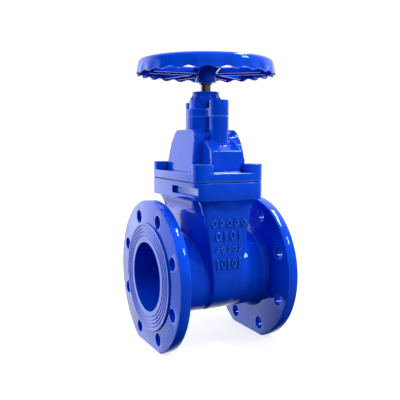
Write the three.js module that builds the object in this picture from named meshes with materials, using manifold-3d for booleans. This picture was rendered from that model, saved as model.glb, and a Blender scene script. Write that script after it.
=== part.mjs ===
// Flanged gate valve, nominal bore 100 mm, resilient seat, non-rising stem, with handwheel.
// Millimetres, +Z up. X runs along the pipe, Y across it, Z along the stem.
// The origin lies under the stem, on the plane of the flats that the two flanges stand on.
import * as THREE from 'three';
import { mergeVertices } from 'three/addons/utils/BufferGeometryUtils.js';
import Module from 'manifold-3d';

const wasm = await Module();
wasm.setup();

// ---------------------------------------------------------------- driving dimensions
// Pipe line
const BORE_R = 50;             // clear bore
const FACE_TO_FACE = 190;      // over the two raised faces
const FLANGE_R = 110;
const FLANGE_T = 16;           // plate, without the raised face
const RAISED_H = 3;
const PCD_R = FLANGE_R - 20;   // flange bolt circle
const RAISED_R = PCD_R - 12;
const FLANGE_BOLTS = 8;
const FLANGE_HOLE_R = 9.5;
const FOOT_DROP = FLANGE_R - 9;   // pipe axis down to the standing flats
const BARREL_WALL = 7.5;

// Wedge chamber and its housing. Heights are above the pipe axis.
const SEAT_OVERLAP = 3;        // chamber radius over bore radius
const CHAMBER_HALF_X = 23;     // at the pipe axis
const DRAFT = 0.1;             // each side, per unit of height
const CHAMBER_WALL = 8;
const CHAMBER_END_WALL = 6;
const GUIDE_DEPTH = 10;        // guide slot, outwards from the chamber
const GUIDE_HALF_X = 10.3;
const GUIDE_BOTTOM_H = 2;
const GUIDE_WALL = 8;
const GUIDE_SHELL_HALF_X = 22.4;  // at the pipe axis
const GUIDE_SHELL_DRAFT = 0.137;

// Joint between body and bonnet
const TOP_FLANGE_T = 24.4;
const BONNET_PLATE_T = 11.3;
const GASKET_T = 1.2;
const BOSS_R = 15.5;           // corner bosses, and the corner radius of both flanges
const BOSS_H = 12.2;           // above the bonnet plate
const EDGE_X = 17.2;           // flange edge outside the chamber
const EDGE_Y = 18;
const POCKET_DEPTH = 6;        // long pocket in the side of the body's top flange
const POCKET_H = 11;
const POCKET_DROP = 6.5;       // joint face down to the pocket

// Bonnet dome
const DOME_WALL = 7;
const DOME_HEADROOM = 18.5;    // over the raised wedge
const DOME_HALF_X = 39.5;      // drum, at the plate
const DOME_DRAFT = 0.082;
// Half width of the drum's outline and how far below its top, in drum radii, from the top down.
const DOME_SHOULDER = [[0.475, 0], [0.545, 0.016], [0.653, 0.095], [0.762, 0.234], [0.871, 0.412],
  [0.98, 0.788]];
const DOME_SLIMMER = 6.5;      // drum radius inside, under the bore radius
const LODGE_HALF_X = 24;       // blocks over the ends of the wedge
const LODGE_SET_IN = 14.5;     // their ends, in from the flange edge
const LODGE_H = 29.5;          // above the plate, to the eaves
const ROOF_SLOPE = 0.7;
const ROOF_RUN = 21.5;         // from the eaves inwards
const NECK_R = 29;
const NECK_H = 18.5;           // dome top to the gland joint
const LOBES = [{ y: -40, r: 14 }, { y: 40, r: 12 }];  // screw bosses beside the stem

// Gland
const GLAND_PLATE_T = 11;
const GLAND_LOBE_H = 22.6;
const GLAND_BODY_R = 24;
const GLAND_BODY_H = 26;
const GLAND_CONE_H = 4;
const GLAND_RING_R = 19.8;
const GLAND_RING_H = 6;
const BUSH_R = 15;
const BUSH_LEN = 26;
const WIPER_R = 12;
const WIPER_LEN = 6;
const WIPER_PROUD = 0.6;

// Stem
const THREAD_R = 11;
const THREAD_DEPTH = 2.5;
const LEAD = 5;                // left-hand, so that clockwise closes
const COLLAR_R = 16;
const COLLAR_T = 7;
const THRUST_WASHER_T = 2.4;
const SHAFT_R = 7.5;
const SHAFT_OUT = 10.5;        // bare shaft above the gland
const DUST_WASHER_R = 9.7;
const DUST_WASHER_T = 1.8;
const SQUARE = 11;             // across flats

// Wedge
const OPEN_MARGIN = 5.7;       // raised wedge clear above the bore
const RUBBER_T = 3.3;
const EAR_H = [0.2 * BORE_R, 0.8 * BORE_R];  // guide ears, from the pipe axis when shut
const EAR_HALF_X = 7;
const SHOE_T = 2;
const WEDGE_NECK_H = 24.4;     // above the disc
const WEDGE_NECK_HALF = [20, 29];
const NUT_HALF = [17, 17];
const NUT_BASE_T = 10;
const NUT_HUB_R = 13.5;
const NUT_TOP_MARGIN = 1;

// Handwheel
const WHEEL_R = 99.5;
const WHEEL_WAVES = 24;
const WAVE = 1.7;              // half the height of the wavy edge
const WAVE_FLARE = 2.2;        // the tips lean outwards
const WAVE_ANGLE = -3.5;       // degrees from +X to the first tip
const SHEET_T = 2.4;
const RIM_H = 20.3;            // outer skirt with the crown
const CROWN_EDGE = 4.5;        // bevel of the rim's crown
const RIM_INNER_R = 80;
const RIM_INNER_H = 14;
const SPOKES = 5;
const SPOKE_W = 28;
const SPOKE_H = 9;
const SPOKE_ANGLE = -113.5;     // degrees from +X
const SPIDER_R = 27;
const HUB_R = 15.2;
const HUB_H = 18;
const HUB_NECK_R = 12;
const HUB_NECK_H = 5;
const WHEEL_DROP = 8.7;        // spoke plane above the rim's lower edge

// Screws: radius, head radius, head height, key size across flats
const BONNET_SCREW = { r: 6, headR: 9, headH: 12, key: 10, bite: 16 };
const GLAND_SCREW = { r: 5, headR: 8, headH: 10, key: 8, bite: 18 };
const WHEEL_SCREW = { r: 3.6, headR: 7.5, headH: 5.4, bite: 14 };
const WHEEL_WASHER = { r: 10, t: 1.8 };

// Clearances
const GAP = 0.3;               // between faces that touch
const SLIDE = 0.4;             // wedge in its chamber
const DRILL = 0.3;             // screw in a tapped hole
const LOOSE = 0.8;             // screw or stem in a plain hole

const FINE = 48;               // sides of the large circles
const ROUND = 24;
const SMALL = 12;

// ---------------------------------------------------------------- derived heights and sizes
const AXIS_Z = FOOT_DROP;
const CHAMBER_R = BORE_R + SEAT_OVERLAP;
const GUIDE_HALF_Y = CHAMBER_R + GUIDE_DEPTH;
const LIFT = 2 * BORE_R + OPEN_MARGIN - SLIDE;
const DISC_R = CHAMBER_R - SLIDE;
const DISC_TOP = SEAT_OVERLAP + DISC_R;
const WEDGE_TOP = DISC_TOP + WEDGE_NECK_H;
const CORNER_CUT_Y = WEDGE_NECK_HALF[1] + 6;
const CORNER_WALL = 3.5;
const PLATE_CAVITY = 2;        // guide slots carried on above the bonnet plate
const DISC_ROOM = 1;           // round the raised wedge, inside the bonnet plate
const SHOULDER = SEAT_OVERLAP + Math.sqrt(DISC_R ** 2 - (CORNER_CUT_Y - CORNER_WALL) ** 2);

const JOINT_Z = AXIS_Z + LIFT + SHOULDER - BONNET_PLATE_T - GASKET_T;
const BONNET_Z = JOINT_Z + GASKET_T + 2 * GAP;
const PLATE_Z = BONNET_Z + BONNET_PLATE_T;
const DOME_Z = AXIS_Z + LIFT + WEDGE_TOP + DOME_HEADROOM + DOME_WALL;
const DRUM_R = BORE_R - DOME_SLIMMER + DOME_WALL;
const GLAND_JOINT_Z = DOME_Z + NECK_H;
const GLAND_Z = GLAND_JOINT_Z + GAP;
const GLAND_TOP_Z = GLAND_Z + GLAND_BODY_H + GLAND_CONE_H + GLAND_RING_H;
const DUST_WASHER_Z = GLAND_TOP_Z + SHAFT_OUT + GAP;
const HUB_Z = DUST_WASHER_Z + DUST_WASHER_T + 2 * GAP;
const HUB_TOP_Z = HUB_Z + HUB_H + HUB_NECK_H;
const SPOKE_Z = HUB_Z + HUB_H + GAP;       // underside of the spokes' web
const RIM_Z = SPOKE_Z + SHEET_T - WHEEL_DROP;
const RIM_TOP_Z = RIM_Z + RIM_H;
const WASHER_Z = HUB_TOP_Z + GAP;
const SCREW_Z = WASHER_Z + WHEEL_WASHER.t + GAP;

const chamberHalfX = (z) => CHAMBER_HALF_X + DRAFT * (z - AXIS_Z);
const shellHalfX = (z) => chamberHalfX(z) + CHAMBER_WALL;
const guideShellHalfX = (z) => GUIDE_SHELL_HALF_X + GUIDE_SHELL_DRAFT * (z - AXIS_Z);

const TOP_HALF_X = chamberHalfX(JOINT_Z) + EDGE_X;
const TOP_HALF_Y = GUIDE_HALF_Y + EDGE_Y;
const BONNET_BOLTS = [[-1, -1], [1, -1], [1, 1], [-1, 1]]
  .map(([sx, sy]) => [sx * (TOP_HALF_X - BOSS_R), sy * (TOP_HALF_Y - BOSS_R)]);
const LODGE_HALF_Y = TOP_HALF_Y - LODGE_SET_IN;

// ---------------------------------------------------------------- colours
const finish = (name, color, roughness, metalness) =>
  new THREE.MeshStandardMaterial({ name, color, roughness, metalness });
const EPOXY = ['epoxy_blue', 0x0f3fc4, 0.28, 0];
const STAINLESS = ['stainless', 0x8f8b86, 0.35, 1];
const BRASS = ['brass', 0xb5914a, 0.4, 1];
const RUBBER = ['rubber', 0x17181a, 0.8, 0];
const POLYMER = ['polymer', 0xd9d6c9, 0.5, 0];
const ZINC = ['zinc', 0xa9adb1, 0.4, 1];

// ---------------------------------------------------------------- solids
function solid(geometry) {
  const bare = geometry.index ? geometry : geometry.clone();
  bare.deleteAttribute('normal');
  bare.deleteAttribute('uv');
  const merged = mergeVertices(bare, 1e-4);
  return new wasm.Manifold(new wasm.Mesh({
    numProp: 3,
    vertProperties: new Float32Array(merged.attributes.position.array),
    triVerts: new Uint32Array(merged.index.array),
  }));
}

const at = (geometry, x, y, z) => geometry.translate(x, y, z);

const box = (x, y, z) => solid(at(new THREE.BoxGeometry(x[1] - x[0], y[1] - y[0], z[1] - z[0]),
  (x[0] + x[1]) / 2, (y[0] + y[1]) / 2, (z[0] + z[1]) / 2));

// A round bar along Z, standing at (x, y).
const bar = (r, z0, z1, x = 0, y = 0, sides = ROUND) => solid(at(
  new THREE.CylinderGeometry(r, r, z1 - z0, sides).rotateX(Math.PI / 2).rotateZ(Math.PI / 2),
  x, y, (z0 + z1) / 2));

// A round bar along X, centred on the pipe axis and shifted by (y, z).
const pipe = (r, x0, x1, y = 0, z = 0, sides = ROUND) => solid(at(
  new THREE.CylinderGeometry(r, r, x1 - x0, sides).rotateZ(Math.PI / 2),
  (x0 + x1) / 2, y, AXIS_Z + z));

// A turned piece: pairs of radius and height, as a closed loop or from axis to axis.
function turned(profile, sides = ROUND) {
  const points = profile.map(([r, z]) => new THREE.Vector2(r, z));
  return solid(new THREE.LatheGeometry(points, sides).rotateX(Math.PI / 2));
}

const ring = (rIn, rOut, z0, z1, sides = ROUND) =>
  turned([[rIn, z0], [rOut, z0], [rOut, z1], [rIn, z1], [rIn, z0]], sides);

// A ring of round section.
const torus = (r, section, z) => solid(at(new THREE.TorusGeometry(r, section, 6, ROUND), 0, 0, z));

// An outline drawn in (x, y), standing from z0 to z1.
const slab = (shape, z0, z1, curve = 5) => solid(at(
  new THREE.ExtrudeGeometry(shape, { depth: z1 - z0, bevelEnabled: false, curveSegments: curve }),
  0, 0, z0));

// An outline drawn in (y, z), running from x0 to x1.
const acrossX = (shape, x0, x1, curve = 12) => solid(at(
  new THREE.ExtrudeGeometry(shape, { depth: x1 - x0, bevelEnabled: false, curveSegments: curve })
    .applyMatrix4(new THREE.Matrix4().makeBasis(
      new THREE.Vector3(0, 1, 0), new THREE.Vector3(0, 0, 1), new THREE.Vector3(1, 0, 0))),
  x0, 0, 0));

// An outline drawn in (x, z), running from y0 to y1.
const acrossY = (shape, y0, y1) => solid(at(
  new THREE.ExtrudeGeometry(shape, { depth: y1 - y0, bevelEnabled: false })
    .applyMatrix4(new THREE.Matrix4().makeBasis(
      new THREE.Vector3(1, 0, 0), new THREE.Vector3(0, 0, 1), new THREE.Vector3(0, -1, 0))),
  0, y1, 0));

const outline = (points) => new THREE.Shape(points.map(([a, b]) => new THREE.Vector2(a, b)));

function roundedRect(halfX, halfY, r) {
  const shape = new THREE.Shape();
  shape.absarc(halfX - r, halfY - r, r, 0, Math.PI / 2, false);
  shape.absarc(r - halfX, halfY - r, r, Math.PI / 2, Math.PI, false);
  shape.absarc(r - halfX, r - halfY, r, Math.PI, 1.5 * Math.PI, false);
  shape.absarc(halfX - r, r - halfY, r, 1.5 * Math.PI, 2 * Math.PI, false);
  return shape;
}

// A U in (y, z): straight sides down to a half round whose lowest point is at `bottom`.
function uShape(halfY, bottom, top) {
  const shape = new THREE.Shape();
  shape.moveTo(halfY, top);
  shape.lineTo(-halfY, top);
  shape.absarc(0, bottom + halfY, halfY, Math.PI, 2 * Math.PI, false);
  return shape;
}

// A prism along Y whose half width follows halfX(z).
function drafted(halfX, z0, z1, halfY) {
  return acrossY(outline([[-halfX(z0), z0], [halfX(z0), z0], [halfX(z1), z1], [-halfX(z1), z1]]),
    -halfY, halfY);
}

const join = (pieces) => pieces.reduce((whole, piece) => whole.add(piece));
const cut = (piece, tools) => piece.subtract(join(tools));

const hexBar = (flats, z0, z1, x, y) => bar(flats / Math.sqrt(3), z0, z1, x, y, 6);

// Socket head screw with its seat at z.
function socketScrew({ r, headR, headH, key }, z, length, x, y) {
  const body = bar(r, z - length, z + 1, x, y, SMALL).add(bar(headR, z, z + headH, x, y, SMALL));
  return body.subtract(hexBar(key, z + headH * 0.5, z + headH + 1, x, y));
}

// ---------------------------------------------------------------- assembly
const valve = new THREE.Group();

function place(name, piece, [material, color, roughness, metalness]) {
  const { vertProperties, triVerts } = piece.getMesh();
  const geometry = new THREE.BufferGeometry();
  geometry.setAttribute('position', new THREE.BufferAttribute(vertProperties, 3));
  geometry.setIndex(new THREE.BufferAttribute(triVerts, 1));
  geometry.computeVertexNormals();
  const mesh = new THREE.Mesh(geometry, finish(material, color, roughness, metalness));
  mesh.name = name;
  valve.add(mesh);
}

// ---------------------------------------------------------------- body
function bodyOutside() {
  const half = FACE_TO_FACE / 2;
  const faces = half - RAISED_H;
  const guideR = GUIDE_HALF_Y + GUIDE_WALL;
  const centreR = CHAMBER_R + CHAMBER_END_WALL;
  const top = JOINT_Z - TOP_FLANGE_T / 2;
  const bottom = AXIS_Z - BORE_R - BARREL_WALL;
  const parts = [
    pipe(BORE_R + BARREL_WALL, -faces + 1, faces - 1, 0, 0, FINE),
    acrossX(uShape(guideR, bottom, top), -TOP_HALF_X, TOP_HALF_X)
      .intersect(drafted(guideShellHalfX, bottom - 1, top + 1, guideR + 1)),
    acrossX(uShape(centreR, bottom, top), -TOP_HALF_X, TOP_HALF_X)
      .intersect(drafted(shellHalfX, bottom - 1, top + 1, centreR + 1)),
    slab(roundedRect(TOP_HALF_X, TOP_HALF_Y, BOSS_R), JOINT_Z - TOP_FLANGE_T, JOINT_Z),
  ];
  for (const side of [-1, 1]) {
    const flange = [side * faces, side * (faces - FLANGE_T)].sort((a, b) => a - b);
    const raised = [side * half, side * (faces - 1)].sort((a, b) => a - b);
    parts.push(pipe(FLANGE_R, flange[0], flange[1], 0, 0, FINE));
    parts.push(pipe(RAISED_R, raised[0], raised[1], 0, 0, FINE));
  }
  return join(parts);
}

function chamber(top) {
  const bottom = AXIS_Z - BORE_R;
  return [
    acrossX(uShape(CHAMBER_R, bottom, top), -TOP_HALF_X, TOP_HALF_X)
      .intersect(drafted(chamberHalfX, bottom - 1, top, CHAMBER_R + 1)),
    acrossX(uShape(GUIDE_HALF_Y, bottom, top), -GUIDE_HALF_X, GUIDE_HALF_X)
      .intersect(box([-TOP_HALF_X, TOP_HALF_X], [-TOP_HALF_Y, TOP_HALF_Y],
        [AXIS_Z + GUIDE_BOTTOM_H, top])),
  ];
}

function flangeHoles() {
  const half = FACE_TO_FACE / 2;
  const holes = [];
  for (let i = 0; i < FLANGE_BOLTS; i += 1) {
    const angle = ((i + 0.5) * 2 * Math.PI) / FLANGE_BOLTS;
    const y = PCD_R * Math.cos(angle);
    const z = PCD_R * Math.sin(angle);
    for (const side of [-1, 1]) {
      const span = [side * (half + 1), side * (half - RAISED_H - FLANGE_T - 1)].sort((a, b) => a - b);
      holes.push(pipe(FLANGE_HOLE_R, span[0], span[1], y, z, SMALL));
    }
  }
  return holes;
}

// A long pocket in each side of the top flange, turned half round the stem from one another.
function sidePockets() {
  const zTop = JOINT_Z - POCKET_DROP;
  return [-1, 1].map((side) => {
    const x = [side * (TOP_HALF_X + 1), side * (TOP_HALF_X - POCKET_DEPTH)].sort((a, b) => a - b);
    const y = [0, side * (TOP_HALF_Y - POCKET_DEPTH)].sort((a, b) => a - b);
    return box(x, y, [zTop - POCKET_H, zTop]);
  });
}

function valveBody() {
  const threads = BONNET_BOLTS.map(([x, y]) =>
    bar(BONNET_SCREW.r + DRILL, JOINT_Z - BONNET_SCREW.bite - 2, JOINT_Z + 1, x, y, SMALL));
  const floor = box([-FACE_TO_FACE, FACE_TO_FACE], [-FLANGE_R - 1, FLANGE_R + 1], [-FLANGE_R, 0]);
  return cut(bodyOutside(), [
    pipe(BORE_R, -FACE_TO_FACE, FACE_TO_FACE, 0, 0, FINE),
    ...chamber(JOINT_Z + 1),
    ...flangeHoles(),
    ...sidePockets(),
    ...threads,
    floor,
  ]);
}
place('valve_body', valveBody(), EPOXY);

// ---------------------------------------------------------------- bonnet joint
function gasket() {
  const inset = 0.8;
  const z = [JOINT_Z + GAP, JOINT_Z + GAP + GASKET_T];
  const sheet = slab(roundedRect(TOP_HALF_X - inset, TOP_HALF_Y - inset, BOSS_R - inset), z[0], z[1]);
  const holes = BONNET_BOLTS.map(([x, y]) => bar(BONNET_SCREW.r + LOOSE, z[0] - 1, z[1] + 1, x, y, SMALL));
  return cut(sheet, [
    ...holes,
    box([-chamberHalfX(JOINT_Z), chamberHalfX(JOINT_Z)], [-CHAMBER_R, CHAMBER_R], [z[0] - 1, z[1] + 1]),
    box([-GUIDE_HALF_X, GUIDE_HALF_X], [-GUIDE_HALF_Y, GUIDE_HALF_Y], [z[0] - 1, z[1] + 1]),
  ]);
}
place('bonnet_gasket', gasket(), RUBBER);

// ---------------------------------------------------------------- bonnet
const domeHalfX = (inset) => (z) => DOME_HALF_X - inset - DOME_DRAFT * (z - PLATE_Z);

// The drum over the wedge: a block with a flat top and round shoulders, whose sides lean in. One corner
// of each side is cut square, turned half round the stem from one another.
function drum(inset, cornerY, cornerX) {
  const r = DRUM_R - inset;
  const top = DOME_Z - inset;
  const left = DOME_SHOULDER.map(([y, drop]) => [-y * r, top - drop * r]);
  const right = DOME_SHOULDER.map(([y, drop]) => [y * r, top - drop * r]).reverse();
  const block = acrossX(outline([[-r, BONNET_Z], [r, BONNET_Z], ...right, ...left]), -TOP_HALF_X, TOP_HALF_X)
    .intersect(drafted(domeHalfX(inset), BONNET_Z, DOME_Z + 1, r + 1));
  return cut(block, [-1, 1].map((side) => {
    const x = [side * TOP_HALF_X, side * cornerX].sort((a, b) => a - b);
    const y = [side * cornerY, side * TOP_HALF_Y].sort((a, b) => a - b);
    return box(x, y, [BONNET_Z - 1, DOME_Z + 2]);
  }));
}

// Blocks over the wedge's ends, with a roof that rises towards the neck.
function lodges(inset) {
  const end = LODGE_HALF_Y - inset;
  const eaves = PLATE_Z + LODGE_H - inset;
  const ridgeY = end - ROOF_RUN;
  const ridge = eaves + ROOF_SLOPE * ROOF_RUN;
  const shape = outline([[-end, BONNET_Z], [end, BONNET_Z], [end, eaves], [ridgeY, ridge],
    [-ridgeY, ridge], [-end, eaves]]);
  return acrossX(shape, -LODGE_HALF_X + inset, LODGE_HALF_X - inset);
}

function bonnet() {
  const collarFloor = GLAND_JOINT_Z - COLLAR_T - 2 * THRUST_WASHER_T - 3 * GAP;
  const outside = join([
    slab(roundedRect(TOP_HALF_X, TOP_HALF_Y, BOSS_R), BONNET_Z, PLATE_Z),
    ...BONNET_BOLTS.map(([x, y]) => bar(BOSS_R, BONNET_Z + 1, PLATE_Z + BOSS_H, x, y)),
    drum(0, CORNER_CUT_Y, 0),
    lodges(0),
    bar(NECK_R, DOME_Z - 15, GLAND_JOINT_Z, 0, 0, FINE),
    ...LOBES.map(({ y, r }) => bar(r, PLATE_Z + LODGE_H, GLAND_JOINT_Z, 0, y)),
  ]);
  const [section, slots] = chamber(PLATE_Z + PLATE_CAVITY);
  const raisedDisc = pipe(DISC_R + DISC_ROOM, -TOP_HALF_X, TOP_HALF_X, 0, LIFT + SEAT_OVERLAP, FINE);
  const hollow = join([
    section.intersect(raisedDisc),
    slots,
    drum(DOME_WALL, CORNER_CUT_Y - CORNER_WALL, LODGE_HALF_X - DOME_WALL),
    lodges(DOME_WALL),
  ]).intersect(box([-TOP_HALF_X, TOP_HALF_X], [-TOP_HALF_Y, TOP_HALF_Y], [BONNET_Z - 1, DOME_Z - DOME_WALL]));
  return cut(outside, [
    hollow,
    bar(THREAD_R + LOOSE, DOME_Z - DOME_WALL - 5, GLAND_JOINT_Z, 0, 0),
    bar(COLLAR_R + LOOSE, collarFloor, GLAND_JOINT_Z + 1, 0, 0),
    ...BONNET_BOLTS.flatMap(([x, y]) => [
      bar(BONNET_SCREW.r + LOOSE, BONNET_Z - 1, PLATE_Z + BOSS_H + 1, x, y, SMALL),
      bar(BONNET_SCREW.headR + LOOSE, PLATE_Z, PLATE_Z + BOSS_H + 1, x, y, SMALL),
    ]),
    ...LOBES.map(({ y }) => bar(GLAND_SCREW.r + DRILL, GLAND_JOINT_Z - GLAND_SCREW.bite - 2,
      GLAND_JOINT_Z + 1, 0, y, SMALL)),
  ]);
}
place('bonnet', bonnet(), EPOXY);

BONNET_BOLTS.forEach(([x, y], i) => {
  const seat = PLATE_Z + GAP;
  const length = seat - JOINT_Z + BONNET_SCREW.bite;
  place(`bonnet_screw_${i + 1}`, socketScrew(BONNET_SCREW, seat, length, x, y), STAINLESS);
});

// ---------------------------------------------------------------- gland and seals
const SEAL_GROOVE = 2.6;
const SEAL_SECTION = 1.1;
const BUSH_Z = GLAND_Z + 1.5;
const WIPER_Z = GLAND_TOP_Z - WIPER_LEN + WIPER_PROUD;
const JOINT_RING_R = (COLLAR_R + NECK_R) / 2;

function gland() {
  const bodyTop = GLAND_Z + GLAND_BODY_H;
  const lobes = LOBES.map(({ y, r }) => bar(r, GLAND_Z, GLAND_Z + GLAND_LOBE_H, 0, y));
  const bridges = LOBES.map(({ y, r }) =>
    box([-r, r], [Math.min(0, y), Math.max(0, y)], [GLAND_Z, GLAND_Z + GLAND_PLATE_T]));
  const column = turned([[0, GLAND_Z], [NECK_R, GLAND_Z], [NECK_R, GLAND_Z + GLAND_PLATE_T],
    [GLAND_BODY_R, GLAND_Z + GLAND_PLATE_T], [GLAND_BODY_R, bodyTop],
    [GLAND_RING_R, bodyTop + GLAND_CONE_H], [GLAND_RING_R, GLAND_TOP_Z], [0, GLAND_TOP_Z]], FINE);
  const seat = GLAND_Z + GLAND_PLATE_T;
  return cut(join([column, ...bridges, ...lobes]), [
    bar(BUSH_R + GAP, GLAND_Z - 1, BUSH_Z + BUSH_LEN + GAP),
    bar(SHAFT_R + LOOSE, GLAND_Z, GLAND_TOP_Z + 1),
    bar(WIPER_R + GAP, WIPER_Z - GAP, GLAND_TOP_Z + 1),
    ring(JOINT_RING_R - SEAL_GROOVE / 2, JOINT_RING_R + SEAL_GROOVE / 2, GLAND_Z - 1,
      GLAND_Z + SEAL_GROOVE - GAP),
    ...LOBES.flatMap(({ y }) => [
      bar(GLAND_SCREW.r + LOOSE, GLAND_Z - 1, GLAND_Z + GLAND_LOBE_H + 1, 0, y, SMALL),
      bar(GLAND_SCREW.headR + LOOSE, seat, GLAND_Z + GLAND_LOBE_H + 1, 0, y, SMALL),
    ]),
  ]);
}
place('gland', gland(), EPOXY);
place('gland_ring_seal', torus(JOINT_RING_R, SEAL_SECTION, GLAND_Z + SEAL_SECTION + 0.1), RUBBER);

LOBES.forEach(({ y }, i) => {
  const seat = GLAND_Z + GLAND_PLATE_T + GAP;
  const length = seat - GLAND_JOINT_Z + GLAND_SCREW.bite;
  place(`gland_screw_${i + 1}`, socketScrew(GLAND_SCREW, seat, length, 0, y), STAINLESS);
});

// The bush carries two rings inside, on the stem, and one outside, in the gland.
const BUSH_BORE = SHAFT_R + GAP;
const INNER_SEALS = [0.3, 0.7].map((share) => BUSH_Z + share * BUSH_LEN);
const OUTER_SEAL = BUSH_Z + 0.5 * BUSH_LEN;
const sealGroove = (rIn, rOut, z) => ring(rIn, rOut, z - SEAL_GROOVE / 2, z + SEAL_GROOVE / 2);

function bush() {
  return cut(ring(BUSH_BORE, BUSH_R, BUSH_Z, BUSH_Z + BUSH_LEN), [
    ...INNER_SEALS.map((z) => sealGroove(BUSH_BORE - 1, BUSH_BORE + SEAL_GROOVE, z)),
    sealGroove(BUSH_R - SEAL_GROOVE, BUSH_R + 1, OUTER_SEAL),
  ]);
}
place('stem_bush', bush(), BRASS);
INNER_SEALS.forEach((z, i) => {
  place(`stem_seal_${i + 1}`, torus(BUSH_BORE + SEAL_SECTION + 0.1, SEAL_SECTION, z), RUBBER);
});
place('bush_seal', torus(BUSH_R - SEAL_SECTION - 0.1, SEAL_SECTION, OUTER_SEAL), RUBBER);
place('stem_wiper', turned([[SHAFT_R + GAP, WIPER_Z], [WIPER_R, WIPER_Z], [WIPER_R, GLAND_TOP_Z - 1],
  [WIPER_R - 1, GLAND_TOP_Z], [SHAFT_R + 2, GLAND_TOP_Z + WIPER_PROUD],
  [SHAFT_R + GAP, GLAND_TOP_Z + WIPER_PROUD], [SHAFT_R + GAP, WIPER_Z]]), RUBBER);

// ---------------------------------------------------------------- stem
const COLLAR_Z = GLAND_JOINT_Z - GAP - THRUST_WASHER_T - COLLAR_T;
const STEM_FOOT_Z = AXIS_Z + BORE_R + 7;
const THREAD_TOP_Z = AXIS_Z + LIFT + WEDGE_TOP + 7;
const SQUARE_Z = DUST_WASHER_Z - GAP;
const SQUARE_TOP_Z = HUB_TOP_Z - 2;
const STEM_TOP_Z = SQUARE_TOP_Z;
const WASHER_BORE = COLLAR_R * 0.72;

place('thrust_washer_lower', ring(THREAD_R + LOOSE, COLLAR_R, COLLAR_Z - GAP - THRUST_WASHER_T,
  COLLAR_Z - GAP, SMALL), BRASS);
place('thrust_washer_upper', ring(SHAFT_R + 2 * LOOSE, COLLAR_R, COLLAR_Z + COLLAR_T + GAP,
  COLLAR_Z + COLLAR_T + THRUST_WASHER_T, SMALL), BRASS);

// A left-hand trapezoidal thread: rows of points that follow the helix, closed with a cone at each
// end and trimmed to length.
function thread(z0, z1) {
  const steps = 8;
  const root = THREAD_R - THREAD_DEPTH;
  const section = [[root, 0], [root, 0.34], [THREAD_R, 0.5], [THREAD_R, 0.84]];
  const turns = Math.ceil((z1 - z0) / LEAD) + 2;
  const start = z0 - 2 * LEAD;
  const rows = section.length * turns;
  const points = [];
  const row = (j) => [section[j % section.length][0],
    start + (Math.floor(j / section.length) + section[j % section.length][1]) * LEAD];
  const index = (i, j) => (i === steps ? index(0, j + section.length) : i * (rows + section.length) + j);
  for (let i = 0; i < steps; i += 1) {
    for (let j = 0; j < rows + section.length; j += 1) {
      const [r, z] = row(j);
      const angle = (-2 * Math.PI * i) / steps;
      points.push(r * Math.cos(angle), r * Math.sin(angle), z + (LEAD * i) / steps);
    }
  }
  const low = points.push(0, 0, start - LEAD) / 3 - 1;
  const high = points.push(0, 0, start + (turns + 3) * LEAD) / 3 - 1;
  const faces = [];
  for (let i = 0; i < steps; i += 1) {
    for (let j = 0; j < rows - 1; j += 1) {
      faces.push(index(i, j), index(i, j + 1), index(i + 1, j + 1));
      faces.push(index(i, j), index(i + 1, j + 1), index(i + 1, j));
    }
    faces.push(low, index(i, 0), index(i + 1, 0));
    faces.push(high, index(i + 1, rows - 1), index(i, rows - 1));
  }
  for (let k = 0; k < section.length; k += 1) {
    faces.push(low, index(0, k + 1), index(0, k));
    faces.push(high, index(0, rows - 1 + k), index(0, rows + k));
  }
  const geometry = new THREE.BufferGeometry();
  geometry.setAttribute('position', new THREE.Float32BufferAttribute(points, 3));
  geometry.setIndex(faces);
  return solid(geometry).intersect(bar(THREAD_R + 1, z0, z1, 0, 0, SMALL));
}

function stem() {
  const shank = turned([[0, THREAD_TOP_Z - 1], [THREAD_R, THREAD_TOP_Z - 1], [THREAD_R, COLLAR_Z],
    [COLLAR_R, COLLAR_Z], [COLLAR_R, COLLAR_Z + COLLAR_T], [SHAFT_R, COLLAR_Z + COLLAR_T],
    [SHAFT_R, SQUARE_Z], [0, SQUARE_Z]], SMALL);
  const square = box([-SQUARE / 2, SQUARE / 2], [-SQUARE / 2, SQUARE / 2], [SQUARE_Z - 1, SQUARE_TOP_Z]);
  const core = bar(THREAD_R - THREAD_DEPTH - 1, STEM_FOOT_Z - 1.5, THREAD_TOP_Z, 0, 0, SMALL);
  const tap = bar(WHEEL_SCREW.r + DRILL, STEM_TOP_Z - WHEEL_SCREW.bite - 2, STEM_TOP_Z + 1, 0, 0, SMALL);
  return cut(join([shank, square, core, thread(STEM_FOOT_Z, THREAD_TOP_Z)]), [tap]);
}
place('stem', stem(), STAINLESS);

const squareHole = (z0, z1) => {
  const half = SQUARE / 2 + GAP;
  return box([-half, half], [-half, half], [z0 - 1, z1 + 1]);
};
place('dust_washer', bar(DUST_WASHER_R, DUST_WASHER_Z, DUST_WASHER_Z + DUST_WASHER_T, 0, 0)
  .subtract(squareHole(DUST_WASHER_Z, DUST_WASHER_Z + DUST_WASHER_T)), STAINLESS);

// ---------------------------------------------------------------- wedge, drawn raised
const OPEN_Z = AXIS_Z + LIFT;
const wedgeHalfX = (inset) => (z) => CHAMBER_HALF_X - SLIDE - inset + DRAFT * (z - OPEN_Z);
const STEM_WAY_R = THREAD_R + LOOSE;

function disc(inset) {
  const centre = OPEN_Z + SEAT_OVERLAP;
  const r = DISC_R - inset;
  return solid(new THREE.CylinderGeometry(r, r, 4 * CHAMBER_HALF_X, FINE).rotateZ(Math.PI / 2)
    .translate(0, 0, centre)).intersect(drafted(wedgeHalfX(inset), centre - r - 1, centre + r + 1, r + 1));
}

function ears(halfX, halfY, h0, h1) {
  return box([-halfX, halfX], [-halfY, halfY], [OPEN_Z + h0, OPEN_Z + h1]);
}

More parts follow.
